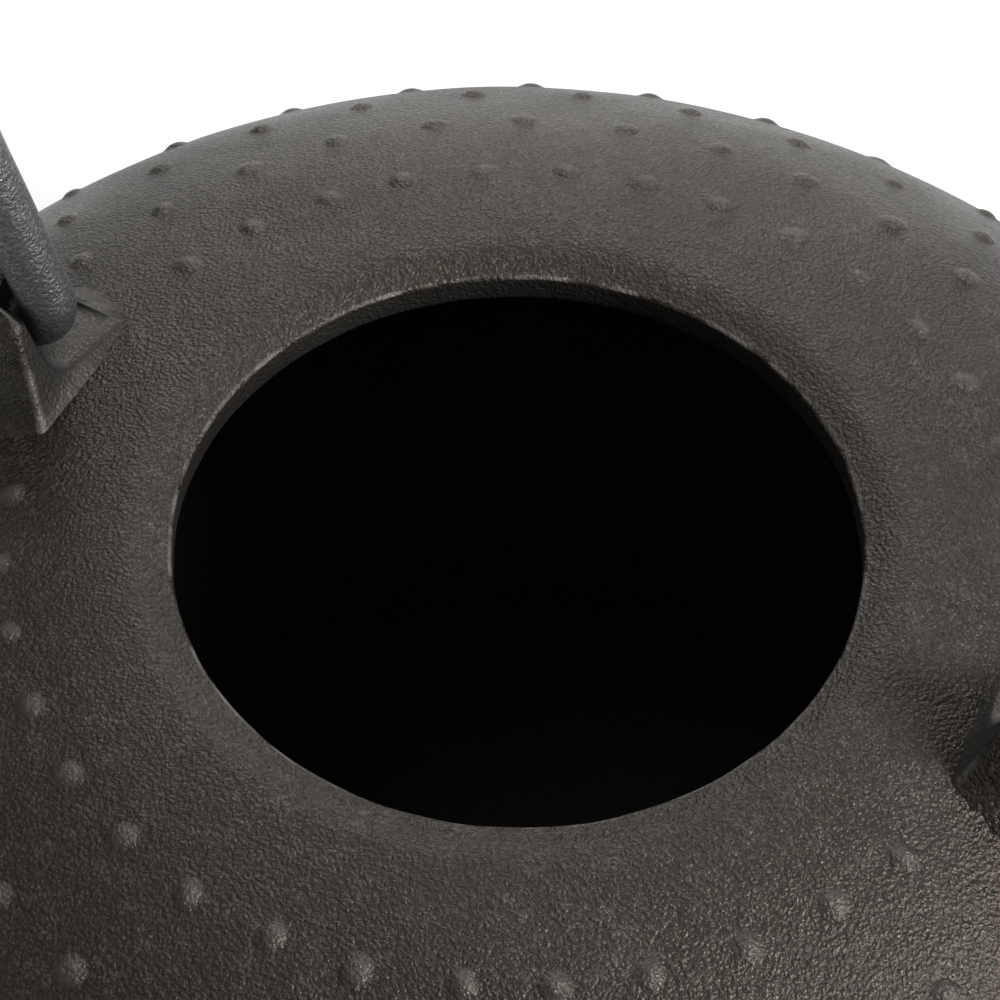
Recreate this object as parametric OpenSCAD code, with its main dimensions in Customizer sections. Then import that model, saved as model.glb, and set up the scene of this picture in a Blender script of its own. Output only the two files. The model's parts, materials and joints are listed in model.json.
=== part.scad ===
// Cast iron teapot: a hollow cast pot with a spout and two ears, a bent rod handle that swings
// over it, and a separate lid with a riveted knob.
// The origin is the centre of the foot on the resting plane. +Z is up and +X points to the spout.
// Heights named "_up" are measured from the plane of the mouth rim.

/* [Pot body] */
// Radius of the round mouth
mouth_r = 30; // [26:0.5:33]
// Height of the mouth rim above the table
body_h = 78; // [74:1:84]
// Thickness of the cast wall
wall = 3.6; // [3:0.1:4.5]
// Depth of the straight wall inside the mouth
lip_depth = 3; // [2.5:0.1:5]
// Radius of the crest of the shoulder round the mouth
crest_r = 34.3; // [33.8:0.1:36]
// Height of that crest above the mouth rim
crest_up = 1.16; // [0.9:0.02:1.4]
// Radius of the shoulder's curve
shoulder_r = 58.5; // [56:0.5:62]
// Slope at which the shoulder turns into the flank, in degrees
flank_slope = 50; // [46:1:52]
// Radius of the flank's tighter curve
flank_r = 33; // [30:0.5:35]
// Radius of the curve under the widest line
belly_r = 35.8; // [34:0.1:36]
// Radius of the flat foot
foot_r = 46; // [40:1:48]

/* [Spout] */
// Bore radius at the spout's outlet
spout_bore_r = 5.5; // [5:0.1:6]
// Wall thickness at the outlet
spout_lip = 2; // [1.8:0.1:2.5]
// Outer radius of the spout at the elbow
spout_mid_r = 10.8; // [10.4:0.1:11.2]
// Outer radius of the spout inside the pot's flank
spout_root_r = 17; // [16:0.5:18]
// Radius of the channel from the flank to the elbow
spout_channel_r = 7.5; // [6.5:0.1:7.5]

/* [Ears] */
// Height of the handle's pivot above the mouth rim
pivot_up = 4.6; // [4.4:0.1:5]
// Radius of the ear's round top about the pivot
ear_top_r = 5.8; // [5.4:0.1:6.2]
// Width of the ear at its foot
ear_foot_w = 15; // [14:0.5:16]
// Distance from the pot's axis to the foot of the ear's inner face
ear_inner_x = 43.2; // [42.8:0.1:43.6]
// Lean of the ear's inner face away from the mouth, in degrees
ear_lean = 22; // [18:1:24]
// Distance from the pot's axis to the ear's outer face at its top
ear_outer_x = 54; // [53:0.5:56]
// Gap round the rod in the pocket of the ear
pocket_gap = 0.7; // [0.6:0.1:0.8]

/* [Handle] */
// Radius of the handle's rod
rod_r = 2.5; // [2.3:0.1:2.6]
// Outward run of each leg for a slope length of 1
leg_run = 0.28; // [0.25:0.01:0.3]
// Distance from the pot's axis to the corner where a leg's line meets the pivot
leg_corner_x = 45.12; // [45.0:0.12:45.6]
// Radius of the tight bend between leg and pivot pin
elbow_r = 3; // [2.8:0.1:3.3]
// Radius of the handle's round arch
arch_r = 54; // [52:0.5:56]
// Greatest swing of the handle from upright, in degrees
swing_max = 100; // [90:1:100]

/* [Lid] */
// Radius of the lid
lid_r = 33.6; // [33:0.1:34]
// Thickness of the lid plate
lid_t = 3; // [2.6:0.1:3.4]
// Rise of the domed top from edge to centre
lid_rise = 4; // [3:0.1:5]
// Depth of the ring that locates the lid in the mouth
ring_depth = 8; // [6:0.5:10]
// Gap between that ring and the mouth
ring_gap = 0.7; // [0.5:0.1:1]
// Radius of the round knob
knob_r = 8; // [7:0.1:9]
// Radius of the rivet that holds the knob
rivet_r = 2; // [1.8:0.1:2.4]
// Space between the pot and the lid set down beside it
lid_space = 14; // [8:1:30]

/* [Hidden] */
$fn = 96;

iron = [0.22, 0.20, 0.18];
iron_light = [0.30, 0.28, 0.26];
steel = [0.20, 0.21, 0.23];
eps = 0.01;
far = 200;

// Side outline of the pot as [radius, height] centres of three tangent arcs.
crown_z = body_h + crest_up + 0.14;
shoulder_c = [crest_r - 4, crown_z - shoulder_r];
flank_c = shoulder_c + (shoulder_r - flank_r) * [sin(flank_slope), cos(flank_slope)];
max_r = flank_c.x + flank_r;
belly_c = [max_r - belly_r, flank_c.y];
cavity_floor = belly_c.y - belly_r + wall;

// Centreline of the spout.
spout_root = [62, 38];
spout_elbow = [97, 60];
spout_tip = [115, 82];
// The balls at the elbow stand out from the cones that meet there.
elbow_more = 0.2;

// Centreline of one side of the handle: pin, elbow, leg that leans outwards, arch.
pivot_z = body_h + pivot_up;
leg_dir = [leg_run, sqrt(1 - leg_run * leg_run)];
elbow_cut = elbow_r * (1 + leg_dir.x) / leg_dir.y;
elbow_c = [leg_corner_x + elbow_cut, pivot_z + elbow_r];
leg_low = [leg_corner_x, pivot_z] + elbow_cut * leg_dir;
leg_high_x = arch_r * leg_dir.y;
leg_high = [leg_high_x, pivot_z + (leg_high_x - leg_corner_x) * leg_dir.y / leg_dir.x];
arch_c = [0, leg_high.y + arch_r * leg_dir.x];
pin_tip = 0.8;
pocket_r = rod_r + pocket_gap;
pocket_x = elbow_c.x + 0.6;
pin_bore_r = rod_r + 0.1;
pin_end_x = ear_outer_x + 4;

ring_r = mouth_r - ring_gap;
ring_t = 2.4;
lid_x = -(max_r + lid_space + lid_r);
lid_edge_z = ring_depth + lid_t;
lid_top_z = lid_edge_z + lid_rise;
lid_dome_r = (pow(lid_r, 2) + pow(lid_rise, 2)) / (2 * lid_rise);
vent_r = 1.6;
vent_at = 19;
knob_neck_r = 4.2;
knob_foot_r = 6.5;
knob_foot_t = 2;
knob_up = 11;
washer_r = 6;
washer_t = 1.2;
rivet_head_r = 3.8;
rivet_head_t = 1.6;
rivet_depth = 7;

// A slice of a disc between two angles, about a centre.
module pie(c, r, a0, a1) {
  reach = 3 * r;
  mid = (a0 + a1) / 2;
  translate(c) intersection() {
    circle(r);
    polygon([[0, 0],
             reach * [cos(a0), sin(a0)],
             reach * [cos(mid), sin(mid)],
             reach * [cos(a1), sin(a1)]]);
  }
}

// Half section of the pot's outside, drawn in by a depth: the arcs keep their centres.
module pot_half(depth) {
  bottom = belly_c.y - belly_r + depth;
  pie(shoulder_c, shoulder_r - depth, 90 - flank_slope, 90);
  pie(flank_c, flank_r - depth, 0, 90 - flank_slope);
  pie(belly_c, belly_r - depth, -90, 0);
  translate([0, bottom]) square([belly_c.x, belly_c.y - bottom]);
  translate([0, belly_c.y]) square([shoulder_c.x, crown_z - depth - belly_c.y]);
}

// Half section of the hollow: it stops at the bottom of the straight mouth wall.
module cavity_half() {
  difference() {
    pot_half(wall);
    translate([0, body_h - lip_depth]) square([crest_r, far]);
  }
  translate([0, cavity_floor + 1]) square([mouth_r, far]);
}

// The shallow dished seat that falls from the crest to the mouth rim.
module seat_half() {
  slope = crest_up / (crest_r - mouth_r);
  polygon([[mouth_r - 2, body_h - 2 * slope],
           [crest_r, body_h + crest_up],
           [crest_r, crown_z + 5],
           [mouth_r - 2, crown_z + 5]]);
}

// The pot's outside below and above the line where its shoulder meets its flank. They shape
// what joins the pot.
module pot_below() {
  foot = belly_c.y - belly_r;
  rotate(90) rotate_extrude() {
    pie(flank_c, flank_r, 0, 90 - flank_slope);
    pie(belly_c, belly_r, -90, 0);
    translate([0, foot]) square([belly_c.x, belly_c.y - foot]);
    translate([0, belly_c.y]) square([shoulder_c.x, belly_r / 2]);
  }
}

module pot_above() {
  rotate(90) rotate_extrude() {
    pie(shoulder_c, shoulder_r, 90 - flank_slope, 90);
    translate([0, belly_c.y]) square([shoulder_c.x, crown_z - belly_c.y]);
  }
}

// A cone between two points of the XZ plane, made longer at each end by a margin.
module xz_cone(a, b, r_a, r_b, more_a = 0, more_b = 0) {
  run = norm(b - a);
  grow = (r_b - r_a) / run;
  lean = atan2(b.x - a.x, b.y - a.y);
  translate([a.x, 0, a.y]) rotate([0, lean, 0]) translate([0, 0, -more_a])
    cylinder(h = run + more_a + more_b, r1 = r_a - grow * more_a, r2 = r_b + grow * more_b);
}

module spout_outside() {
  xz_cone(spout_root, spout_elbow, spout_root_r, spout_mid_r);
  translate([spout_elbow.x, 0, spout_elbow.y]) sphere(spout_mid_r + elbow_more);
  xz_cone(spout_elbow, spout_tip, spout_mid_r, spout_bore_r + spout_lip);
}

module spout_channel() {
  xz_cone(spout_root, spout_elbow, spout_channel_r, spout_channel_r);
  translate([spout_elbow.x, 0, spout_elbow.y]) sphere(spout_channel_r + elbow_more);
  along = (spout_tip - spout_elbow) / norm(spout_tip - spout_elbow);
  throat = spout_tip - 8 * along;
  xz_cone(spout_elbow, throat, spout_channel_r, spout_bore_r);
  xz_cone(throat, spout_tip, spout_bore_r, spout_bore_r, 0, 1);
}

module body_shell() {
  color(iron) difference() {
    rotate(90) rotate_extrude() difference() {
      union() {
        pot_half(0);
        square([foot_r, cavity_floor - 1]);
      }
      cavity_half();
      seat_half();
    }
    spout_channel();
  }
}

module spout() {
  color(iron) difference() {
    spout_outside();
    pot_below();
    pot_above();
    spout_channel();
  }
}

// Ear seen along X: a round top about the pivot on a foot that widens into the shoulder.
module ear_front() {
  translate([0, pivot_up]) circle(ear_top_r);
  polygon([[-ear_top_r, pivot_up], [-ear_foot_w / 2, 0], [-ear_foot_w / 2 - 2, -8],
           [ear_foot_w / 2 + 2, -8], [ear_foot_w / 2, 0], [ear_top_r, pivot_up]]);
}

// Ear seen along Y: an inner face that leans outwards and a rounded outer back.
module ear_side() {
  top = pivot_up + ear_top_r + 1;
  back_r = 3;
  difference() {
    polygon([[ear_inner_x - 8 * tan(ear_lean), -8],
             [ear_inner_x + top * tan(ear_lean), top],
             [ear_outer_x, top],
             [ear_outer_x + 3, -8]]);
    translate([ear_outer_x - back_r + 0.4, top - back_r - 1]) difference() {
      square(far);
      circle(back_r);
    }
  }
}

// Space for the rod's elbow: it stands in a round-bottomed slot and folds out to the +Y side.
module pocket_front() {
  translate([0, pivot_up]) {
    circle(pocket_r);
    translate([-pocket_r, 0]) square([far, far]);
    rotate(90 - swing_max) translate([0, -pocket_r]) square([far, 2 * pocket_r]);
  }
}

// The ear on the +X side.
module ear() {
  difference() {
    intersection() {
      translate([ear_inner_x - far / 2, 0, body_h]) rotate([90, 0, 90])
        linear_extrude(far) ear_front();
      translate([0, far / 2, body_h]) rotate([90, 0, 0]) linear_extrude(far) ear_side();
    }
    pot_above();
    translate([0, 0, body_h]) rotate([90, 0, 90]) linear_extrude(pocket_x) pocket_front();
    translate([0, 0, pivot_z]) rotate([0, 90, 0]) cylinder(h = far, r = pin_bore_r);
  }
}

module front_ear() {
  color(iron_light) ear();
}

module rear_ear() {
  color(iron_light) mirror([1, 0, 0]) ear();
}

// A stretch of rod bent to an arc in the XZ plane. The outline is a wedge from the arc's centre.
module rod_arc(c, r, outline) {
  rotate([90, 0, 0]) translate([c.x, c.y, 0]) intersection() {
    rotate(90) rotate_extrude() translate([r, 0]) circle(rod_r);
    translate([0, 0, -2 * rod_r]) linear_extrude(4 * rod_r) polygon(outline);
  }
}

// One side of the handle up to the arch: pivot pin, tight elbow and straight leg.
module handle_side() {
  pin_length = pin_end_x - pin_tip - elbow_c.x;
  translate([elbow_c.x, 0, pivot_z]) rotate([0, 90, 0]) {
    cylinder(h = pin_length, r = rod_r);
    translate([0, 0, pin_length]) cylinder(h = pin_tip, r1 = rod_r, r2 = rod_r - pin_tip);
  }
  rod_arc(elbow_c, elbow_r, [[0, 0], far * [-leg_dir.y, leg_dir.x], [-far, -far], [0, -far]]);
  translate([leg_low.x, 0, leg_low.y]) rotate([0, asin(leg_dir.x), 0])
    cylinder(h = norm(leg_high - leg_low), r = rod_r);
}

module bail_handle() {
  color(steel) {
    handle_side();
    mirror([1, 0, 0]) handle_side();
    rod_arc(arch_c, arch_r, [[0, 0], far * [leg_dir.y, -leg_dir.x], [far, far], [-far, far],
                             far * [-leg_dir.y, -leg_dir.x]]);
  }
}

module lid_half() {
  dome_z = lid_top_z - lid_dome_r;
  difference() {
    union() {
      translate([0, ring_depth]) square([lid_r, lid_t]);
      intersection() {
        translate([0, dome_z]) circle(lid_dome_r);
        translate([0, lid_edge_z]) square([lid_r, lid_rise]);
      }
      translate([ring_r - ring_t, 0]) square([ring_t, ring_depth]);
    }
    intersection() {
      translate([0, dome_z - lid_t]) circle(lid_dome_r);
      translate([0, ring_depth - eps]) square([ring_r - ring_t, far]);
    }
    polygon([[mouth_r, ring_depth], [lid_r + 1, ring_depth],
             [lid_r + 1, ring_depth + (lid_r + 1 - mouth_r) * 0.27]]);
  }
}

module lid_plate() {
  color(iron) translate([lid_x, 0, 0]) difference() {
    rotate_extrude() lid_half();
    cylinder(h = far, r = rivet_r);
    rotate(180) translate([vent_at, 0, 0]) cylinder(h = far, r = vent_r);
  }
}

module lid_knob() {
  ball_z = lid_top_z + knob_up;
  color(iron_light) translate([lid_x, 0, 0]) difference() {
    union() {
      translate([0, 0, ball_z]) sphere(knob_r);
      translate([0, 0, lid_top_z - 1]) cylinder(h = knob_up, r = knob_neck_r);
      translate([0, 0, lid_top_z - 1]) cylinder(h = knob_foot_t + 1, r = knob_foot_r);
    }
    translate([0, 0, lid_top_z - lid_dome_r]) sphere(lid_dome_r);
    cylinder(h = lid_top_z + rivet_depth, r = rivet_r);
  }
}

// The washer's rim touches the lid's hollow underside, which is this much higher on its axis.
washer_drop = 0.13;
under_z = lid_top_z - lid_t - washer_drop;

module knob_rivet() {
  color(steel) translate([lid_x, 0, under_z - washer_t]) {
    cylinder(h = washer_t + lid_t + rivet_depth, r = rivet_r);
    translate([0, 0, -rivet_head_t]) cylinder(h = rivet_head_t, r1 = rivet_head_r - 1, r2 = rivet_head_r);
  }
}

module knob_washer() {
  color(steel) translate([lid_x, 0, under_z - washer_t]) difference() {
    cylinder(h = washer_t, r = washer_r);
    cylinder(h = washer_t, r = rivet_r);
  }
}

body_shell();
spout();
front_ear();
rear_ear();
bail_handle();
lid_plate();
lid_knob();
knob_rivet();
knob_washer();
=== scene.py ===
# %% [markdown]
# # A cast iron teapot
# The pot, its spout and its two ears are one sand casting. A steel rod bent into a handle swings in
# the ears, and a loose lid with a riveted knob lies beside the pot, so that the open mouth shows.
# The CAD model is the frame: it gives the sizes, the pivot and the bodies that move. The pieces here
# are finer skins over it, worked out as surfaces of two parameters, and they ride on its bodies.

import json

import bmesh
import bpy
import numpy as np
from mathutils import Matrix, Vector


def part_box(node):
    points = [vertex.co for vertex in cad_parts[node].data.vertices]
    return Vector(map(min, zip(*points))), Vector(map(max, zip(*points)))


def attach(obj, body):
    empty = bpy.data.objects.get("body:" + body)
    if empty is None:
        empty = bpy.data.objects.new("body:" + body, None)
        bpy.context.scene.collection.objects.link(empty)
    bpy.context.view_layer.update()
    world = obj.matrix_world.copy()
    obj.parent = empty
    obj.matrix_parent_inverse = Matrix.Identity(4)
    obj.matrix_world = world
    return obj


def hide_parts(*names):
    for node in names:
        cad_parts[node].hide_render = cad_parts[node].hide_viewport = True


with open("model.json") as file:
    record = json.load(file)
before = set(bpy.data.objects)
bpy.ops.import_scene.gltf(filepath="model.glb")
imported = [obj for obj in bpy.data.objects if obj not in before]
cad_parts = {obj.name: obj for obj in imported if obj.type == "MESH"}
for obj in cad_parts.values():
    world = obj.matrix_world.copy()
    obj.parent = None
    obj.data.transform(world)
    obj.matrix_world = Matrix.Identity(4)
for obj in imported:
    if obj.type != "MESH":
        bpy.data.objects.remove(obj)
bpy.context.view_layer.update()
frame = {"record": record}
MM = 0.001

# %% Sizes that the frame gives
mounts = {mount["name"]: mount for mount in frame["record"]["mounts"]}
joints = {joint["name"]: joint for joint in frame["record"]["behaviour"]["joints"]}
MOUTH_R = mounts["mouth"]["dims"]["r_mm"] * MM
LIP = mounts["mouth"]["dims"]["length_mm"] * MM
RIM_Z = mounts["mouth"]["pos_m"][2] + LIP / 2
PIVOT_Z = joints["handle_swing"]["pos_m"][2]
SWING = joints["handle_swing"]["range_deg"][1]
POT_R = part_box("body_shell")[1][0]
lid_low, lid_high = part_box("lid_plate")
LID_X = (lid_low[0] + lid_high[0]) / 2
print("mouth radius", MOUTH_R, "m, rim height", RIM_Z, "m, pivot height", PIVOT_Z, "m")
print("lid's middle at x =", round(LID_X, 4), "m, body's radius", round(POT_R, 4), "m")

# %% [markdown]
# ## Surfaces on a grid
# Every new piece is a grid of points: rows follow its outline and columns go round it. One helper
# turns such an array into a closed mesh. Blender could also spin or sweep curves, but an array is
# quick, and a formula can move all its points at once.


# %% A mesh from a grid of points
def grid_mesh(name, points, ring=False, marks=None):
    """Joins rows of points into one or many closed surfaces.

    points has the shape (rows, columns, 3), with one more axis in front where there are many.
    Columns always close on themselves. With ring the last row also joins the first, as on a
    doughnut. Otherwise one point in the middle of the first row and one in the middle of the last
    close the ends. marks holds one number per point for each name.
    """
    points = points[None] if points.ndim == 3 else points
    many, rows, columns = points.shape[:3]
    index = np.arange(many * rows * columns).reshape(many, rows, columns)
    low = index if ring else index[:, :-1]
    high = np.roll(index, -1, axis=1) if ring else index[:, 1:]
    quads = np.stack([low, np.roll(low, -1, 2), np.roll(high, -1, 2), high], -1)
    faces = quads.reshape(-1, 4).tolist()
    flat = points.reshape(-1, 3)
    marks = {key: value.reshape(-1) for key, value in (marks or {}).items()}
    if not ring:
        for row in (0, -1):
            poles = np.arange(len(flat), len(flat) + many)[:, None]
            edge = index[:, row]
            fans = np.stack([edge, np.roll(edge, -1, 1), poles + 0 * edge], -1)
            faces += fans.reshape(-1, 3).tolist()
            flat = np.concatenate([flat, points[:, row].mean(1)])
            marks = {key: np.append(value, value[edge[:, 0]]) for key, value in marks.items()}
    mesh = bpy.data.meshes.new(name)
    mesh.from_pydata(flat.tolist(), [], faces)
    for key, value in marks.items():
        carried = mesh.attributes.new(key, "FLOAT", "POINT")
        carried.data.foreach_set("value", value.astype(np.float32))
    work = bmesh.new()
    work.from_mesh(mesh)
    bmesh.ops.recalc_face_normals(work, faces=work.faces)
    if work.calc_volume(signed=True) < 0:
        bmesh.ops.reverse_faces(work, faces=work.faces)
    volume = work.calc_volume()
    work.to_mesh(mesh)
    work.free()
    mesh.shade_smooth()
    piece = bpy.data.objects.new(name, mesh)
    bpy.context.scene.collection.objects.link(piece)
    print(f"{name}: {len(mesh.polygons)} faces, {volume * 1e6:.2f} cm3")
    return piece


# %% A turned shape
def turned(outline, angles, centre_x=0.0):
    """Carries an outline of (radius, height) round an upright axis: radius * (cos, sin), height."""
    radius, height = outline[:, :1], outline[:, 1:]
    return np.stack(
        [
            centre_x + radius * np.cos(angles),
            radius * np.sin(angles),
            height + np.zeros_like(angles),
        ],
        -1,
    )


def unit(vectors):
    """The same directions with a length of 1: each vector over its own length."""
    return vectors / np.linalg.norm(vectors, axis=-1, keepdims=True)


def rounded(corners, radii, steps=5):
    """Rounds the corners of an outline, each by a curve between points on its two sides.

    The curve is (1-t)^2 of the first point, 2t(1-t) of the corner and t^2 of the last point.
    """
    corners = np.asarray(corners, float)
    t = np.linspace(0, 1, steps)[:, None]
    parts = [corners[:1]]
    triples = zip(corners, corners[1:], corners[2:], strict=False)
    for (before, corner, after), radius in zip(triples, radii, strict=True):
        a, b = (corner + unit(side - corner) * radius for side in (before, after))
        parts.append((1 - t) ** 2 * a + 2 * t * (1 - t) * corner + t**2 * b)
    parts.append(corners[-1:])
    return np.concatenate(parts)


def full_circle(columns):
    """Angles of evenly spaced columns round a turned shape."""
    return np.arange(columns) * 2 * np.pi / columns


# %% A smooth step
def smooth(x):
    """A ramp from 0 to 1 with level ends: 3x^2 - 2x^3."""
    x = np.clip(x, 0, 1)
    return x * x * (3 - 2 * x)


# %% Slow unevenness of a casting
def uneven(points, size, amount, seed, count=9, usual=4):
    """A sum of sine waves in random directions, about size across and seldom more than amount.

    It is amount times the sum over usual, the most that so many waves often add up to.
    """
    waves = np.random.default_rng(seed)
    total = np.zeros(points.shape[:-1])
    for _ in range(count):
        wave = waves.normal(size=3)
        wave *= 2 * np.pi / (size * np.linalg.norm(wave) * waves.uniform(0.7, 1.6))
        total += np.sin(points @ wave + waves.uniform(0, 2 * np.pi))
    return amount * total / usual


# %% [markdown]
# ## The pot's outline
# Seen from the side, the shoulder, the flank and the belly are three arcs that run into each other.
# A point on them is found by its distance along the outline, which is also how a moulder spaces
# rows of dots, so the dots stay evenly apart where the outline curves more tightly.

# %% The three arcs
WALL = 3.6 * MM
CREST_R = 34.3 * MM
CREST_UP = 1.16 * MM
SHOULDER_R = 58.5 * MM
FLANK_R = 33 * MM
BELLY_R = 35.8 * MM
FOOT_R = 46 * MM
CREST_OUT = 4 * MM  # from the centre of the shoulder's arc out to the crest
CROWN_UP = 0.14 * MM  # from the crest up to the top of that arc
TOP_SLOPE = np.arcsin(CREST_OUT / SHOULDER_R)
FLANK_SLOPE = np.radians(50)
FOOT_SHORT = 0.03  # radians by which the belly's arc ends before it is level
SHOULDER_C = np.array([CREST_R - CREST_OUT, RIM_Z + CREST_UP + CROWN_UP - SHOULDER_R])
to_flank = np.array([np.sin(FLANK_SLOPE), np.cos(FLANK_SLOPE)])
FLANK_C = SHOULDER_C + (SHOULDER_R - FLANK_R) * to_flank
BELLY_C = np.array([FLANK_C[0] + FLANK_R - BELLY_R, FLANK_C[1]])
TO_FLANK = (FLANK_SLOPE - TOP_SLOPE) * SHOULDER_R
TO_BELLY = TO_FLANK + (np.pi / 2 - FLANK_SLOPE) * FLANK_R
TO_FOOT = TO_BELLY + (np.pi / 2 - FOOT_SHORT) * BELLY_R
CAST_FADE = 8 * MM  # over which the casting's waves start at the crest and end at the foot


def pot_slope(along):
    """Slope of the outside at a distance from the crest along it: arc length over radius."""
    on_shoulder = TOP_SLOPE + along / SHOULDER_R
    on_flank = FLANK_SLOPE + (along - TO_FLANK) / FLANK_R
    on_belly = np.pi / 2 + (along - TO_BELLY) / BELLY_R
    return np.where(along < TO_FLANK, on_shoulder, np.where(along < TO_BELLY, on_flank, on_belly))


def pot_outline(slope, inset=0.0):
    """Points (radius, height) of the side at these slopes: arc's centre + radius * (sin, cos)."""
    on_shoulder, on_flank = slope < FLANK_SLOPE, slope < np.pi / 2
    arc = np.where(on_shoulder, SHOULDER_R, np.where(on_flank, FLANK_R, BELLY_R)) - inset
    side = np.where(on_flank[..., None], FLANK_C, BELLY_C)
    middle = np.where(on_shoulder[..., None], SHOULDER_C, side)
    return middle + arc[..., None] * np.stack([np.sin(slope), np.cos(slope)], -1)


def skin(along, angle, lift=0.0):
    """Points of the pot's side at a place along the outline and an angle round the axis.

    They are moved along the normal by the lift and by the unevenness of the casting.
    """
    along, angle = np.broadcast_arrays(along, angle)
    slope = pot_slope(along)
    outline = pot_outline(slope)
    around = np.stack([np.cos(angle), np.sin(angle)], -1)
    base = np.concatenate([outline[..., :1] * around, outline[..., 1:]], -1)
    normal = np.concatenate([np.sin(slope)[..., None] * around, np.cos(slope)[..., None]], -1)
    fade = smooth(along / CAST_FADE) * smooth((TO_FOOT - along) / CAST_FADE)
    wave = fade * uneven(base, size=17 * MM, amount=0.09 * MM, seed=3)
    return base + normal * (lift + wave)[..., None]


def height_above_shoulder(points):
    """Height of points over the pot's shoulder: z minus the height of the arc at that radius."""
    radius = np.hypot(points[..., 0], points[..., 1])
    run = np.clip(np.abs(radius - SHOULDER_C[0]), 0, SHOULDER_R)
    return points[..., 2] - SHOULDER_C[1] - np.sqrt(SHOULDER_R**2 - run**2)


def clear_of_pot(points):
    """Distance of points outside the pot's flank and shoulder, less than 0 in the wall."""
    radius = np.hypot(points[..., 0], points[..., 1])
    place = np.stack([radius, points[..., 2]], -1)
    slope = np.arctan2(place[..., 0] - FLANK_C[0], place[..., 1] - FLANK_C[1])
    from_flank = np.linalg.norm(place - FLANK_C, axis=-1) - FLANK_R
    from_shoulder = np.linalg.norm(place - SHOULDER_C, axis=-1) - SHOULDER_R
    return np.where(slope < FLANK_SLOPE, from_shoulder, from_flank)


widest = BELLY_C[0] + BELLY_R
print("widest radius", round(widest / MM, 2), "mm; CAD model's", round(POT_R / MM, 2), "mm")

# %% [markdown]
# ## Rows of cast dots
# The dots are pressed into the sand mould by hand, one ring after the next, and each ring is turned
# by half a step. Lifting the body's own grid would need a very fine grid everywhere, so each dot is
# a small cap that follows the same skin. Its rim runs out flat and dips under it, so no seam shows.

# %% Where the dots stand
RINGS = 8
DOTS_IN_RING = 36
FIRST_RING = 10.4 * MM
RING_STEP = 10.8 * MM
RING_TURN = np.radians([-0.8, 4.05])
DOT_SPAN = 1.5 * MM
DOT_H = 0.42 * MM
DOT_STEP = 2 * np.pi / DOTS_IN_RING
DOT_DIP = 0.08 * MM  # by which a cap's rim goes under the skin
DOT_OVAL = 0.07
AROUND_ERROR, ALONG_ERROR = 0.18 * MM, 0.2 * MM
SPAN_ERROR, HEIGHT_ERROR = 0.05, 0.1
EAR_CLEAR_R, EAR_CLEAR_SIDE = 60 * MM, 10 * MM
SPOUT_CLEAR = 22 * MM
scatter = np.random.default_rng(8)


def ring_of_dots(number):
    """Angle, place along the outline, span and height of a ring's dots, with a hand's small errors.

    A dot that would stand on an ear or on the spout is left out.
    """
    angle = RING_TURN[number % 2] + np.arange(DOTS_IN_RING) * DOT_STEP
    along = FIRST_RING + number * RING_STEP
    radius = pot_outline(pot_slope(np.array(along)))[0]
    angle = angle + scatter.normal(0, AROUND_ERROR, DOTS_IN_RING) / radius
    along = along + scatter.normal(0, ALONG_ERROR, DOTS_IN_RING)
    wide = DOT_SPAN * scatter.normal(1, SPAN_ERROR, DOTS_IN_RING)
    tall = DOT_H * scatter.normal(1, HEIGHT_ERROR, DOTS_IN_RING)
    side = radius * np.abs(np.sin(angle))
    on_ear = (side < EAR_CLEAR_SIDE) & (radius < EAR_CLEAR_R)
    on_spout = (side < SPOUT_CLEAR) & (np.cos(angle) > 0) & (number > 1) & (number < RINGS - 1)
    return np.stack([angle, along, wide, tall])[:, ~(on_ear | on_spout)]


def dot_caps(dots, rows=9, sides=20):
    """Grids of caps: height = tall * (1 - x^2.5)^2, where x is 0 in the middle and 1 at the rim.

    The last row, outside x = 1, dips under the skin.
    """
    angle, along, wide, tall = (value[:, None, None] for value in dots)
    x = np.linspace(0.1, 1.1, rows)[:, None]
    turn = full_circle(sides)
    lean = scatter.uniform(0, np.pi, along.shape)
    reach = x * wide * (1 + DOT_OVAL * np.cos(2 * (turn - lean)))
    place = along + reach * np.sin(turn)
    radius = pot_outline(pot_slope(place))[..., 0]
    share = np.clip(1 - np.clip(x, 0, 1) ** 2.5, 0, 1)
    lift = tall * share**2 - DOT_DIP * (x > 1) + 0 * turn
    return skin(place, angle + reach * np.cos(turn) / radius, lift), share + 0 * reach


dots = np.concatenate([ring_of_dots(number) for number in range(RINGS)], 1)
cap_points, cap_mark = dot_caps(dots)
dot_caps_piece = grid_mesh("teapot_body_dots", cap_points, marks={"dot": cap_mark})
print(dots.shape[1], "dots in", RINGS, "rings")

# %% Rows and columns of the body
ROW_STEP = 1.25 * MM
FIRST_ROW = 0.4 * MM
BODY_COLUMNS = 432
alongs = np.linspace(FIRST_ROW, TO_FOOT, int(TO_FOOT / ROW_STEP))
body_angles = full_circle(BODY_COLUMNS)
print("body grid:", len(alongs), "outer rows,", len(body_angles), "columns")

# %% [markdown]
# ## The body as one closed skin
# The outline runs from the middle of the foot up the outside, over the dished seat of the lid, down
# the straight wall of the mouth and round the hollow to its floor. A solid with a shell modifier
# would have the same wall everywhere, but a casting has a thicker lip, so both sides are drawn.

# %% The seat, the mouth and the hollow
EDGE = 0.4 * MM


def seat_outline(rows):
    """The dish between crest and mouth: height = rise * sin of a quarter turn across its width."""
    radius = np.linspace(CREST_R, MOUTH_R + 2 * EDGE, rows)
    share = (radius - MOUTH_R) / (CREST_R - MOUTH_R)
    return np.stack([radius, RIM_Z + CREST_UP * np.sin(share * np.pi / 2)], -1)


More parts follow.
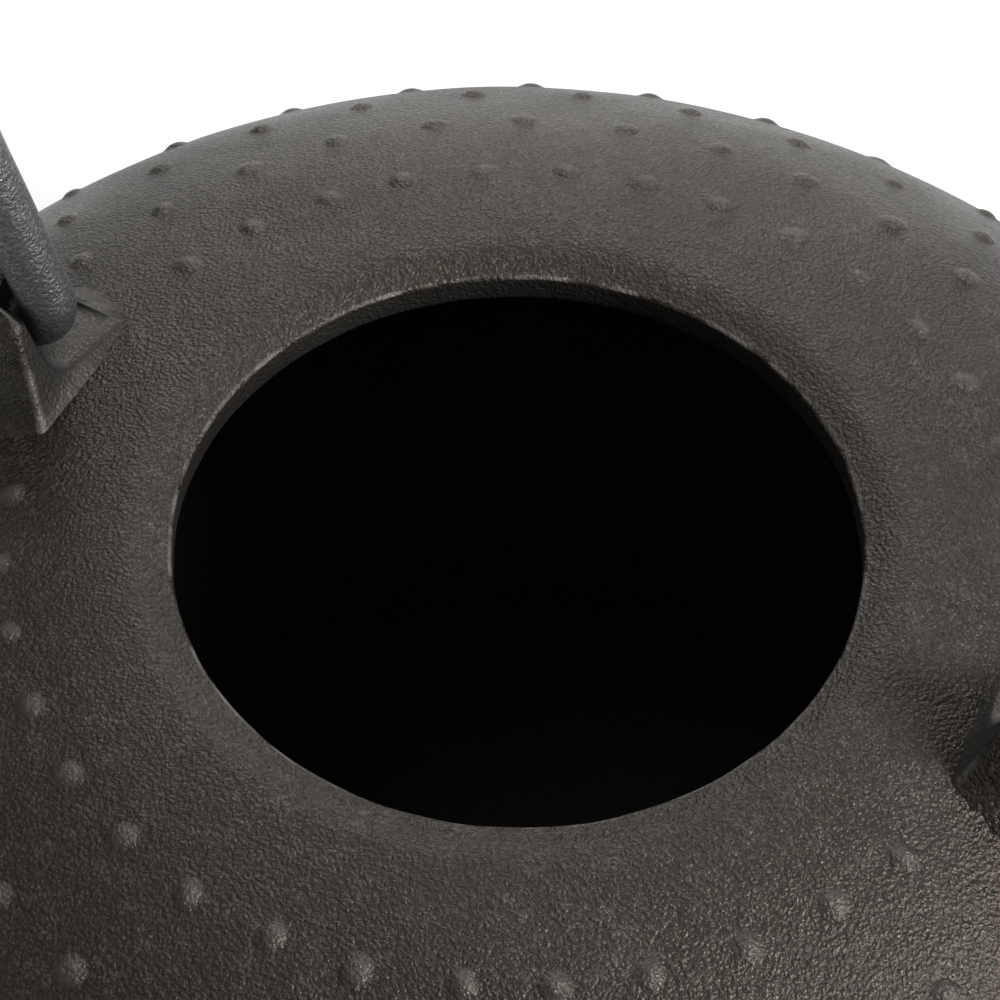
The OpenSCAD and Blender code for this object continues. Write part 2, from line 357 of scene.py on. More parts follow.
foot_edge = rounded(
    [[34 * MM, 0], [FOOT_R, 0], [FOOT_R, 1.2 * MM], [FOOT_R + 1.2 * MM, 1.4 * MM]],
    [0.6 * MM, 0.5 * MM],
)
foot = np.concatenate([[[14 * MM, 0]], foot_edge])
seat = seat_outline(9)
mouth = rounded(
    [
        seat[-1],
        [MOUTH_R, RIM_Z + 0.12 * MM],
        [MOUTH_R, RIM_Z - LIP],
        [CREST_R, RIM_Z - LIP + 0.3 * MM],
    ],
    [EDGE, 0.9 * MM],
    7,
)
hollow_slopes = [7, 15, 25, 35, 45, 52, 62, 72, 82, 92, 105, 120, 135, 150, 165, 179]
hollow = pot_outline(np.radians(hollow_slopes), WALL)
floor_rows = np.array([[30 * MM, hollow[-1, 1]], [10 * MM, hollow[-1, 1]]])
inner_outline = np.concatenate([seat, mouth[1:], hollow, floor_rows])
inner_points = turned(inner_outline, body_angles)
rows_near_lip = len(seat) + len(mouth) - 3
sway = smooth(np.arange(rows_near_lip) / len(seat))[:, None]
sway = sway * uneven(inner_points[:rows_near_lip], size=6 * MM, amount=0.05 * MM, seed=4)
inner_points[:rows_near_lip] *= (1 + sway / MOUTH_R)[..., None] * [1, 1, 0] + [0, 0, 1]
body_points = np.concatenate(
    [turned(foot, body_angles), skin(alongs[::-1, None], body_angles), inner_points]
)
seat_row = len(foot) + len(alongs)
edge_row = seat_row + len(seat)
wall_row, deep_row = edge_row + 5, edge_row + 8
inside_mark = np.zeros(body_points.shape[:2])
inside_mark[wall_row:] = 0.8
inside_mark[deep_row:] = 1.0
edge_mark = np.zeros(body_points.shape[:2])
edge_mark[edge_row + 1 : wall_row] = 1.0
body = grid_mesh("teapot_body", body_points, marks={"inside": inside_mark, "edge": edge_mark})

# %% [markdown]
# ## Ears
# Each ear is a small upright block with a round top. The rod's elbow stands in a pocket in its inner
# face and the pin runs on through a bore. The pocket is open at the top, and on the side to which
# the handle folds. A boolean would leave sharp cuts, which a casting never has. So the ear is one
# ring-shaped grid: out from the bore over the pocket and the face, over the edge, down the back and
# home through the bore.

# %% Outline of an ear about the pivot
EAR_TOP_R = 5.8 * MM
EAR_FLARE = 0.37
EAR_DEEP = 11 * MM
ROD_R = 2.5 * MM
BORE_R = ROD_R + 0.1 * MM
POCKET_R = ROD_R + 0.7 * MM
EAR_INNER = 43.2 * MM
EAR_LEAN = np.tan(np.radians(22))
EAR_OUTER = 54 * MM
BACK_TOP = 10.6 * MM  # over the rim, where the back stands at EAR_OUTER
BACK_LEAN = 0.16
BACK_ROUND = 3 * MM
BACK_ROUND_FROM = 7.4 * MM
POCKET_X = 49.7 * MM  # the pocket's floor
POCKET_BEND = 0.3 * MM
LEAST_CHEEK = 1.3 * MM
BORE_MOUTH_R = BORE_R + 0.15 * MM
FACE_BEND = 0.35 * MM
EDGE_BEND = 0.8 * MM
PIVOT_UP = PIVOT_Z - RIM_Z
FILLET = 2.4 * MM
FILLET_SPREAD = np.array([1.1, 2.6]) * MM
CORNER_LESS = 0.6
NO_EDGE = 1.0  # a metre, further than any edge of an ear


def ear_radius(turn):
    """Distance from pivot to edge: a circle above, and lines below that spread to the foot."""
    side, up = np.abs(np.sin(turn)), np.cos(turn)
    spread = EAR_TOP_R / np.maximum(side + EAR_FLARE * up, 0.05)
    bottom = EAR_DEEP / np.maximum(-up, 0.05)
    return np.where(up >= 0, EAR_TOP_R, np.minimum(spread, bottom))


def pocket_radius(turn):
    """Distance from the pivot to the pocket's edge: a circle and its tangents.

    One side is upright, beside the upright leg, and the other runs along the folded leg.
    """
    turn = np.degrees(turn) % 360
    slot = POCKET_R / np.maximum(-np.sin(np.radians(turn)), 0.01)
    fold = POCKET_R / np.maximum(np.sin(np.radians(turn - SWING)), 0.01)
    edge = np.full_like(turn, POCKET_R)
    edge = np.where(turn > 270, slot, edge)
    edge = np.where(turn < SWING + 90, fold, edge)
    return np.where(turn < SWING, NO_EDGE, edge)


# %% An ear as a ring of rows
def ear_points(columns=144):
    """Rows (distance from the pivot line, distance along it) for every direction round the pivot."""
    turn = full_circle(columns)
    edge = ear_radius(turn)
    pocket = pocket_radius(turn)
    hollow_edge = np.minimum(pocket, edge - LEAST_CHEEK)
    cheek = smooth((edge - pocket) / LEAST_CHEEK)
    one = np.ones(columns)
    rows = []

    def row(reach, place):
        rows.append(np.stack([reach * one, place * one], -1))

    def face_x(reach):
        lean = EAR_INNER + EAR_LEAN * (PIVOT_UP + reach * np.cos(turn))
        return POCKET_X + (lean - POCKET_X) * cheek

    def back_x(reach):
        up = PIVOT_UP + reach * np.cos(turn)
        over = np.clip(up - BACK_ROUND_FROM, 0, BACK_ROUND - 0.05 * MM)
        rounding = BACK_ROUND - np.sqrt(BACK_ROUND**2 - over**2)
        return EAR_OUTER + (BACK_TOP - up) * BACK_LEAN - rounding

    row(BORE_MOUTH_R, POCKET_X)
    for share in (0.3, 0.6, 0.85):
        row(BORE_MOUTH_R + (hollow_edge - BORE_R - 0.4 * MM) * share, POCKET_X)
    for share in (0.0, 0.5, 1.0):
        reach = hollow_edge - POCKET_BEND * (1 - share) ** 2
        row(reach, POCKET_X - POCKET_BEND * share**2 * cheek)
    inner = face_x(hollow_edge)
    for share in (0.3, 0.6, 0.9):
        across = inner - POCKET_X + 2 * POCKET_BEND * cheek
        row(hollow_edge, POCKET_X - POCKET_BEND * cheek + across * share)
    for share in (0.35, 1.0):
        reach = hollow_edge + FACE_BEND * share
        row(reach, face_x(reach) + FACE_BEND * (1 - share) ** 2 * cheek)
    for share in np.linspace(0, 1, 14)[1:-1]:
        reach = hollow_edge + FACE_BEND + (edge - hollow_edge - 2 * FACE_BEND) * share
        row(reach, face_x(reach))
    front, back = face_x(edge), back_x(edge)
    row(edge - 0.25 * EDGE_BEND, front + 0.25 * EDGE_BEND)
    for share in np.linspace(0, 1, 16):
        row(edge, front + EDGE_BEND + (back - front - 2 * EDGE_BEND) * share)
    row(edge - 0.25 * EDGE_BEND, back - 0.25 * EDGE_BEND)
    for share in (0.92, 0.75, 0.5, 0.25, 0.1):
        reach = BORE_R + (edge - BORE_R - EDGE_BEND) * share + 0.3 * MM
        row(reach, back_x(reach))
    bore_end = back_x(BORE_R)
    row(BORE_MOUTH_R, bore_end)
    for share in (0.97, 0.66, 0.33, 0.03):
        row(BORE_R, POCKET_X + (bore_end - POCKET_X) * share)
    reach, place = np.moveaxis(np.stack(rows), -1, 0)
    return np.stack([place, reach * np.sin(turn), PIVOT_Z + reach * np.cos(turn)], -1)


def sit_on_pot(points, middle_x, half, sink):
    """Ends a foot just under the pot's skin and spreads it with a round fillet.

    The spread is w * (1 - sqrt(1 - x^2)), where x is 1 at the skin and 0 at the fillet's height
    over it. It points away from the nearest side of the foot, with its own width w for x and y, and
    is less at the foot's corners.
    """
    height = height_above_shoulder(points)
    points[..., 2] += np.clip(-sink - height, 0, None)
    x = np.clip(1 - np.maximum(height, 0) / FILLET, 0, 1)
    place = (points[..., :2] - [middle_x, 0]) / half
    out = np.sign(place) * np.abs(place) ** 4
    out /= np.maximum(np.linalg.norm(out, axis=-1, keepdims=True), 1e-6)
    corner = smooth(np.min(np.abs(place), axis=-1))
    spread = (1 - np.sqrt(1 - x**2)) * (1 - CORNER_LESS * corner)
    points[..., :2] += out * spread[..., None] * FILLET_SPREAD
    return points


EAR_MIDDLE = 49.5 * MM
EAR_HALF = np.array([6.2, 8.0]) * MM
EAR_SINK = 1.3 * MM
FACE_ROWS = 24  # rows of the pocket and the face, before the edge
ear_grid = sit_on_pot(ear_points(), EAR_MIDDLE, EAR_HALF, EAR_SINK)
ear_wave = uneven(ear_grid, size=5 * MM, amount=0.035 * MM, seed=5)
ear_grid += ear_wave[..., None] * np.array([0.6, 0.6, 0.5])
face_mark = np.zeros(ear_grid.shape[:2])
face_mark[:FACE_ROWS] = 1.0
# The front rim is marked to be painted paler in patches, partly as wear and partly as a painted
# highlight.
edge_mark = np.zeros(ear_grid.shape[:2])
edge_mark[FACE_ROWS - 1 : FACE_ROWS + 1] = 1.0
ear_marks = {"face": face_mark, "edge": edge_mark}
front_ear = grid_mesh("front_ear_casting", ear_grid, True, ear_marks)
rear_ear = grid_mesh("rear_ear_casting", ear_grid * np.array([-1, 1, 1]), True, ear_marks)

# %% [markdown]
# ## The handle
# One steel rod is bent hot: a pin at each end, a tight elbow, a leg that leans out and an arch.
# A curve object with a round bevel would do, but here its path is joined from the arcs of the CAD
# model, so it turns in the ears exactly where they have their bores.

# %% Path of the rod
LEAN = 0.28
RISE = np.sqrt(1 - LEAN**2)
CORNER_X = 45.12 * MM
ELBOW_R = 3 * MM
ARCH_R = 54 * MM
PIN_END = 58 * MM
PIN_ROUND = 0.9 * MM  # from a pin's end to where it has its full radius
PIN_NARROWS = 0.8


def arc_path(centre, radius, start, end, count):
    """Points centre + radius * (cos, sin) from a start angle to an end angle, in degrees."""
    angle = np.radians(np.linspace(start, end, count))
    return np.asarray(centre) + radius * np.stack([np.cos(angle), np.sin(angle)], -1)


lean_angle = np.degrees(np.arcsin(LEAN))
elbow_cut = ELBOW_R * (1 + LEAN) / RISE
elbow_c = [CORNER_X + elbow_cut, PIVOT_Z + ELBOW_R]
leg_top = PIVOT_Z + (ARCH_R * RISE - CORNER_X) * RISE / LEAN
arch_c = [0, leg_top + ARCH_R * LEAN]
pin = np.stack([np.linspace(PIN_END, elbow_c[0], 12), np.full(12, PIVOT_Z)], -1)
elbow = arc_path(elbow_c, ELBOW_R, 270, 180 - lean_angle, 16)
arch = arc_path(arch_c, ARCH_R, -lean_angle, 90, 90)
leg = elbow[-1] + (arch[0] - elbow[-1]) * np.linspace(0, 1, 26)[1:-1, None]
half_path = np.concatenate([pin, elbow[1:], leg, arch])
path = np.concatenate([half_path, (half_path * [-1, 1])[-2::-1]])


# %% The rod along its path
def rod(path, radii, sides=28):
    """Rings of points round a path in the XZ plane: path + radius * (cos * normal + sin * Y)."""
    along = unit(np.gradient(path, axis=0))
    turn = full_circle(sides)
    reach = radii[:, None] * np.cos(turn)
    return np.stack(
        [
            path[:, :1] - along[:, 1:] * reach,
            radii[:, None] * np.sin(turn),
            path[:, 1:] + along[:, :1] * reach,
        ],
        -1,
    )


run = np.concatenate([[0], np.cumsum(np.linalg.norm(np.diff(path, axis=0), axis=1))])
from_end = np.minimum(run, run[-1] - run)
radii = ROD_R - PIN_ROUND * np.clip(1 - from_end / PIN_ROUND, 0, 1) ** 2 * PIN_NARROWS
handle_points = rod(path, radii)
rod_wave = uneven(handle_points, size=9 * MM, amount=0.03 * MM, seed=11)
handle_points += rod_wave[..., None] * np.array([0.5, 0.7, 0.5])
handle = grid_mesh("bail_handle_rod", handle_points)
rod_top = handle_points[..., 2].max()
print("rod length", round(run[-1] / MM, 1), "mm, top at", round(rod_top / MM, 1), "mm")

# %% [markdown]
# ## The spout
# The spout is cast with the pot: thick where it leaves the flank, then tapering to a round lip a
# little above the mouth. It is a tube along a smooth curve. Its outside starts just inside the wall
# and spreads in a fillet, and its inside is the channel through which the tea runs.

# %% Path and radii of the spout
SPOUT_POINTS = np.array([[62, 38], [82, 50.5], [101, 61], [115, 82]]) * MM
ROOT_R = 17 * MM
LIP_R = 7.5 * MM
CHANNEL_R = 7.2 * MM
OUTLET_R = 5.5 * MM
LIP_SWELL = 0.35 * MM
SPOUT_FILLET = 5 * MM
FILLET_SHARE = 0.55
SPOUT_SIDES = 72
MORE_ROWS_TO = 0.45


def spout_path(t):
    """A cubic curve by four control points: (1-t)^3, 3t(1-t)^2, 3t^2(1-t) and t^3 of them."""
    t = t[:, None]
    a, b, c, d = SPOUT_POINTS
    return (1 - t) ** 3 * a + 3 * t * (1 - t) ** 2 * b + 3 * t**2 * (1 - t) * c + t**3 * d


def outer_radius(t):
    """From root to lip it falls steeply, then gently, and swells by a hair at the lip."""
    return LIP_R + (ROOT_R - LIP_R) * (1 - t) ** 1.5 + LIP_SWELL * smooth((t - 0.93) / 0.07)


near_pot, beyond = np.linspace(0.1, MORE_ROWS_TO, 46), np.linspace(MORE_ROWS_TO, 1, 26)
steps = np.concatenate([near_pot, beyond[1:]])
spout_line = spout_path(steps)
spout_outside = rod(spout_line, outer_radius(steps), SPOUT_SIDES)
clear = clear_of_pot(spout_outside)
middle = np.stack([spout_line[:, :1], np.zeros((len(steps), 1)), spout_line[:, 1:]], -1)
x = np.clip(1 - np.maximum(clear, 0) / SPOUT_FILLET, 0, 1)
grow = SPOUT_FILLET * FILLET_SHARE * (1 - np.sqrt(1 - x**2))
away = unit(spout_outside - middle)
spout_outside += away * grow[..., None]

# %% Start each column of the spout just under the skin
SPOUT_SINK = 1.2 * MM
ROUGH_ROWS = 48  # the rows that the mould makes uneven, up to near the lip
start = np.argmax(clear > -SPOUT_SINK, axis=0)
shares = np.linspace(0, 1, 56)[:, None]
wanted = start + (len(steps) - 1 - start) * shares**1.15
low_row = np.floor(wanted).astype(int).clip(0, len(steps) - 2)
part = (wanted - low_row)[..., None]
column = np.arange(SPOUT_SIDES)
lower, upper = spout_outside[low_row, column], spout_outside[low_row + 1, column]
outer_rows = lower * (1 - part) + upper * part
inner_steps = np.linspace(1, 0.3, 24)
inner_radii = OUTLET_R + (CHANNEL_R - OUTLET_R) * smooth((0.85 - inner_steps) / 0.4)
inner_rows = rod(spout_path(inner_steps), inner_radii, SPOUT_SIDES)

# %% Round the spout's lip and close the tube
LIP_ROUND = 0.9 * MM
lip_out, lip_in = outer_rows[-1], inner_rows[0]
before_lip, at_lip = spout_path(np.array([0.99, 1.0]))
lip_x, lip_z = unit(at_lip - before_lip)
turn = np.linspace(0, np.pi, 9)[1:-1, None, None]
lip_rise = np.array([lip_x, 0, lip_z]) * np.sin(turn) * LIP_ROUND
lip_rows = (lip_out + lip_in) / 2 + (lip_out - lip_in) / 2 * np.cos(turn) + lip_rise
spout_grid = np.concatenate([outer_rows, lip_rows, inner_rows])
spout_wave = uneven(outer_rows[:ROUGH_ROWS], size=14 * MM, amount=0.08 * MM, seed=9)
spout_grid[:ROUGH_ROWS] += away[low_row[:ROUGH_ROWS], column] * spout_wave[..., None]
spout = grid_mesh("spout_casting", spout_grid, ring=True)

# %% [markdown]
# ## The hole behind the spout
# The channel goes on through the wall of the pot. Cutting it is the one job here for a boolean: the
# body is a closed skin and the cutter a plain closed tube, so the cut is clean and stays inside.

# %% Cut the channel through the wall
cutter_line = spout_path(np.linspace(0.02, 0.42, 8))
cutter_radii = np.full(len(cutter_line), CHANNEL_R)
cutter = grid_mesh("channel_cutter", rod(cutter_line, cutter_radii, SPOUT_SIDES))
cut = body.modifiers.new("channel", "BOOLEAN")
cut.operation = "DIFFERENCE"
cut.solver = "EXACT"
cut.object = cutter
bpy.context.view_layer.update()
evaluated = body.evaluated_get(bpy.context.evaluated_depsgraph_get())
cut_mesh = bpy.data.meshes.new_from_object(evaluated)
body.modifiers.clear()
body.data = cut_mesh
bpy.data.objects.remove(cutter)
print("body after the cut:", len(cut_mesh.polygons), "faces")

# %% [markdown]
# ## The lid
# The lid is a thin domed casting. A ring under it drops into the mouth, and its sloping edge rests
# on the seat. A round knob is held by a rivet over a washer. It lies beside the pot, on its ring.

# %% Lid plate with dots
LID_R = 33.6 * MM
LID_T = 3 * MM
LID_RISE = 4 * MM
RING_DEPTH = 8 * MM
RING_R = MOUTH_R - 0.7 * MM
RING_T = 2.4 * MM
LID_COLUMNS = 360
LID_DOT_RINGS = ((15.5 * MM, 18), (26 * MM, 18))  # radius and number of dots
dome_r = (LID_R**2 + LID_RISE**2) / (2 * LID_RISE)
lid_top = RING_DEPTH + LID_T + LID_RISE


def dome(radius, drop=0.0):
    """Height of the lid's dome at a radius: a ball of the dome's radius, lowered by a drop."""
    return lid_top - drop - dome_r + np.sqrt(dome_r**2 - radius**2)


top_r = np.linspace(2 * MM, LID_R - 1.2 * MM, 62)
top_side = np.stack([top_r, dome(top_r)], -1)
under_r = np.linspace(RING_R - RING_T - 0.8 * MM, 2 * MM, 10)
under_side = np.stack([under_r, dome(under_r, LID_T)], -1)
edge_side = rounded(
    [
        top_side[-1],
        [LID_R, dome(LID_R) + 0.05 * MM],
        [LID_R, RING_DEPTH + 1.2 * MM],
        [RING_R, RING_DEPTH - 0.1 * MM],
        [RING_R, 0],
        [RING_R - RING_T, 0],
        [RING_R - RING_T, dome(RING_R - RING_T, LID_T)],
        under_side[0],
    ],
    [1.0 * MM, 0.5 * MM, 0.8 * MM, 0.7 * MM, 0.7 * MM, 0.7 * MM],
)
lid_outline = np.concatenate([top_side, edge_side[1:-1], under_side])
lid_angles = full_circle(LID_COLUMNS)
lid_points = turned(lid_outline, lid_angles, LID_X)
lid_dots = np.zeros(lid_points.shape[:2])
for ring_number, (ring_radius, count) in enumerate(LID_DOT_RINGS):
    gap = 2 * np.pi / count
    turn_off = (lid_angles + ring_number * gap / 2 + gap / 2) % gap - gap / 2
    apart = np.hypot(top_r[:, None] * turn_off, top_r[:, None] - ring_radius)
    lid_dots[: len(top_r)] += np.clip(1 - (apart / DOT_SPAN) ** 2, 0, None) ** 2
lid_points[..., 2] += DOT_H * lid_dots
lid_plate = grid_mesh("lid_casting", lid_points, marks={"dot": lid_dots})

# %% Knob, rivet and washer
KNOB_R = 8 * MM
WASHER_R = 6 * MM
WASHER_HOLE_R = 2.05 * MM
WASHER_T = 1.2 * MM
RIVET_R = 2 * MM
ball_z = lid_top + 11 * MM
under_z = lid_top - LID_T
ball = arc_path([0, ball_z], KNOB_R, 88, -52, 40)
knob_foot = rounded(
    [
        ball[-1],
        [4.0 * MM, lid_top + 4 * MM],
        [6.4 * MM, lid_top + 1.6 * MM],
        [6.6 * MM, lid_top - 0.25 * MM],
        [2 * MM, lid_top - 0.1 * MM],
    ],
    [1.2 * MM, 1.4 * MM, 0.3 * MM],
)
knob_outline = np.concatenate([ball, knob_foot[1:]])
knob = grid_mesh("lid_knob_casting", turned(knob_outline, full_circle(96), LID_X))
washer_outline = rounded(
    [
        [5 * MM, under_z - WASHER_T],
        [WASHER_R, under_z - WASHER_T],
        [WASHER_R, under_z],
        [WASHER_HOLE_R, under_z],
        [WASHER_HOLE_R, under_z - WASHER_T],
        [5 * MM, under_z - WASHER_T],
    ],
    [0.3 * MM, 0.2 * MM, 0.1 * MM, 0.2 * MM],
    4,
)[:-1]
washer = grid_mesh("knob_washer_disc", turned(washer_outline, full_circle(64), LID_X), ring=True)
head_z = under_z - WASHER_T
head = arc_path([0, head_z + 2.6 * MM], 4.6 * MM, -89, -38, 10)
shank = [
    [3.7 * MM, head_z],
    [RIVET_R, head_z],
    [RIVET_R, lid_top + 6.5 * MM],
    [0.4 * MM, lid_top + 7 * MM],
]
rivet_outline = np.concatenate([head, shank])
rivet = grid_mesh("knob_rivet_pin", turned(rivet_outline, full_circle(48), LID_X))

# %% [markdown]
# ## Shader maths written as sums
# A material is a web of nodes. To keep it readable, a small class wraps a socket and overloads the
# arithmetic signs, so that an expression on values adds its Math nodes. One method adds every other
# kind of node, with its settings and its inputs.


# %% Values of a material
class Value:
    """A socket of a material's nodes. Sums and products of values add Math nodes."""

    def __init__(self, tree, socket):
        self.tree, self.socket = tree, socket

    def node(self, kind, settings=None, inputs=None, output=0):
        """Adds a node of a kind, its settings first, then its inputs, and returns an output."""
        made = self.tree.nodes.new("ShaderNode" + kind)
        for key, value in (settings or {}).items():
            if key == "stops":
                ramp = made.color_ramp
                while len(ramp.elements) < len(value):
                    ramp.elements.new(0.5)
                for element, (place, colour) in zip(ramp.elements, value, strict=True):
                    element.position, element.color = place, (*colour, 1)
            else:
                setattr(made, key, value)
        for key, value in (inputs or {}).items():
            if isinstance(value, Value):
                self.tree.links.new(value.socket, made.inputs[key])
            else:
                made.inputs[key].default_value = value
        return Value(self.tree, made.outputs[output])

    def math(self, operation, *others):
        """A Math node on this value and up to two more."""
        numbers = dict(enumerate((self, *others)))
        return self.node("Math", {"operation": operation}, numbers)

    def __add__(self, other):
        return self.math("ADD", other)

    def __mul__(self, other):
        return self.math("MULTIPLY", other)

    def __sub__(self, other):
        return self.math("SUBTRACT", other)

    def __rsub__(self, other):
        return (self * -1.0) + other

    __radd__ = __add__
    __rmul__ = __mul__

    def ramp(self, low, high):
        """0 below low, 1 above high, and a smooth step between."""
        settings = {"interpolation_type": "SMOOTHSTEP"}
        return self.node("MapRange", settings, {"Value": self, "From Min": low, "From Max": high})

    def mixed(self, first, second):
        """The first colour where this value is 0 and the second where it is 1."""
        settings = {"data_type": "RGBA"}
        return self.node("Mix", settings, {"Factor": self, 6: first, 7: second}, 2)


def noise(place, size, detail=2.0, rough=0.55):
    """Cloudy noise whose lumps are about size across."""
    inputs = {"Vector": place, "Scale": 1 / size, "Detail": detail, "Roughness": rough}
    return place.node("TexNoise", None, inputs)


def bump(place, height, depth):
    """A normal tilted by the slopes of a height, where a height of 1 stands depth above 0."""
    inputs = {"Strength": 1.0, "Distance": depth, "Height": height}
    return place.node("Bump", None, inputs)


def start_material(name):
    """A new material: its place in object space, and its shader."""
    material = bpy.data.materials.new(name)
    material.use_nodes = True
    tree = material.node_tree
    shader = tree.nodes["Principled BSDF"]
    place = Value(tree, None).node("TexCoord", output="Object")
    return material, place, shader


def feed(shader, **inputs):
    """Links values to the shader's sockets, or sets a plain number on them."""
    for key, value in inputs.items():
        socket = shader.inputs[key.replace("_", " ")]
        if isinstance(value, Value):
            value.tree.links.new(value.socket, socket)
        else:
            socket.default_value = value


# %% [markdown]
# ## Cast iron
# Sand leaves a grain of about 0.4 mm on the iron, and a thin dark lacquer is baked over it. The
# grain is a bump of three noises and of round grains. Its tops are rubbed a little lighter and
# smoother, its hollows keep more lacquer, and broad stains of brown lie over both. An image laid on
# the surface would blur close by, and patterns worked out from the place stay sharp.

# %% The iron's material
DARK = (0.0015, 0.0013, 0.0010, 1)
BROWN = (0.0215, 0.0155, 0.0102, 1)
GREY = (0.0165, 0.0138, 0.0108, 1)
# A pale colour for rubbed tops and edges, also laid on the ears' front rims as a painted highlight.
RUBBED_AND_HIGHLIGHT = (0.13, 0.122, 0.112, 1)
SMOOTHED = (0.0045, 0.0049, 0.0058, 1)
INSIDE = (0.0035, 0.0035, 0.0037, 1)
GRAIN_DEPTH = 0.175 * MM
GRAIN_SIZE = 0.36 * MM
FINE_SIZE = 0.16 * MM
SAND_SIZE = 0.4 * MM
LUMP_SIZE = 2.4 * MM
STAIN_SIZE = 13 * MM
EDGE_WEAR_AND_HIGHLIGHT_SIZE = 3.5 * MM


def mark(place, name):
    """A number that the mesh carries at each point."""
    return place.node("Attribute", {"attribute_name": name}, output="Fac")


def cast_iron(name, marks=()):
    """Sand-cast iron under lacquer. marks names the numbers that the mesh carries."""
    material, place, shader = start_material(name)
    grain = noise(place, GRAIN_SIZE, 2.0, 0.7)
    fine = noise(place, FINE_SIZE, 1.0)
    lumps = noise(place, LUMP_SIZE, 2.0)
    stains = noise(place, STAIN_SIZE, 3.0, 0.6)
    sand = place.node("TexVoronoi", None, {"Vector": place, "Scale": 1 / SAND_SIZE})
    height = grain * 0.9 + fine * 0.35 + lumps * 0.6 - sand * 0.5
    tops = (grain * 0.6 + fine * 0.25 + (1.0 - sand) * 0.25).ramp(0.48, 0.68)
    stain = stains.ramp(0.35, 0.68)
    lacquer = stain.mixed(BROWN, GREY)
    colour = (tops * 0.8).mixed(DARK, lacquer)
    paler = (tops * lumps.ramp(0.45, 0.75)) * 0.22
    rough = 0.40 - 0.12 * tops + 0.08 * stain
    if "dot" in marks:
        paler = paler + mark(place, "dot") * 0.2
    # Marked edges are painted paler in patches: wear on the mouth's rim, and on the ears' front rims
    # partly wear and partly a painted highlight.
    if "edge" in marks:
        patches = noise(place, EDGE_WEAR_AND_HIGHLIGHT_SIZE, 3.0).ramp(0.4, 0.65)
        paler = paler + mark(place, "edge") * 0.7 * patches
    colour = paler.mixed(colour, RUBBED_AND_HIGHLIGHT)
    if "face" in marks:
        face = mark(place, "face")
        colour = (face * 0.85).mixed(colour, SMOOTHED)
        height = height * (1 - 0.55 * face)
        rough = rough + face * 0.1
    if "inside" in marks:
        inside = mark(place, "inside")
        colour = inside.mixed(colour, INSIDE)
        rough = rough + inside * 0.3
    normal = bump(place, height, GRAIN_DEPTH)
    feed(shader, Base_Color=colour, Roughness=rough, Normal=normal, Metallic=0.0)
    feed(shader, IOR=1.6, Specular_IOR_Level=0.38, Specular_Tint=(1.0, 0.91, 0.80, 1))
    return material


# %% [markdown]
# ## Blackened steel
# The rod is smoother than the casting. Its black oxide is blue-grey and speckled, with a faint
# orange-peel from the lacquer, so its highlights are broader and brighter than the iron's. A metal
# shader tints its own reflections, which a dark paint over a plain gloss wouldn't do.

# %% The rod's material
OXIDE = (0.13, 0.132, 0.138, 1)
OXIDE_WORN = (0.3, 0.303, 0.31, 1)
RIVET = (0.2, 0.2, 0.205, 1)
RIVET_WORN = (0.4, 0.4, 0.4, 1)
SPECKLE_SIZE = 0.4 * MM
PATCH_SIZE = 5 * MM
SPECKLE_DEPTH = 0.2 * MM


def blackened_steel(name, tint, paler):
    """Black oxide on steel: a tint with worn speckles on the tops of a fine bump."""
    material, place, shader = start_material(name)
    speckle = noise(place, SPECKLE_SIZE, 3.0, 0.65)
    patches = noise(place, PATCH_SIZE, 3.0)
    tops = speckle.ramp(0.45, 0.7)
    colour = (tops * (0.3 + 0.5 * patches)).mixed(tint, paler)
    rough = 0.34 + 0.14 * patches - 0.08 * tops
    normal = bump(place, speckle + patches * 0.4, SPECKLE_DEPTH)
    feed(shader, Base_Color=colour, Roughness=rough, Normal=normal, Metallic=0.85)
    return material


# %% Give each piece its material and body, and hide its CAD part
iron = cast_iron("lacquered_cast_iron", marks=("edge", "inside"))
iron_dots = cast_iron("cast_iron_dots", marks=("dot",))
iron_plain = cast_iron("cast_iron_spout")
iron_ear = cast_iron("cast_iron_ear", marks=("face", "edge"))
iron_lid = cast_iron("cast_iron_lid", marks=("dot",))
steel = blackened_steel("blackened_steel_rod", OXIDE, OXIDE_WORN)
rivet_steel = blackened_steel("rivet_steel", RIVET, RIVET_WORN)
PIECES = [
    (body, iron, "pot", "cast_iron_body", "body_shell"),
    (dot_caps_piece, iron_dots, "pot", "cast_iron_body", "body_shell"),
    (spout, iron_plain, "pot", "cast_iron_body", "spout"),
    (front_ear, iron_ear, "pot", "cast_iron_ears", "front_ear"),
    (rear_ear, iron_ear, "pot", "cast_iron_ears", "rear_ear"),
    (handle, steel, "handle", "handle_steel", "bail_handle"),
    (lid_plate, iron_lid, "lid", "cast_iron_body", "lid_plate"),
    (knob, iron_plain, "lid", "cast_iron_body", "lid_knob"),
    (rivet, rivet_steel, "lid", "rivet_steel", "knob_rivet"),
    (washer, rivet_steel, "lid", "rivet_steel", "knob_washer"),
]
for piece, material, body_name, slot_name, node_name in PIECES:
    piece.data.materials.clear()
    piece.data.materials.append(material)
    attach(piece, body_name)
    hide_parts(node_name)
print(len(PIECES), "pieces in", len({row[1].name for row in PIECES}), "materials")

# %% [markdown]
# ## Table, light and camera
# The pot stands on a pale table that runs out of sight. A soft box hangs to its right and gives the
# highlights, a weaker and wider one behind brightens the far shoulder, and one overhead fills in.
# Standard colours keep the pale table white, where a filmic look would turn it grey.

# %% The table
TABLE_HALF = 3.0
TABLE_TONES = ((0.86, 0.86, 0.86, 1), (0.90, 0.90, 0.895, 1))


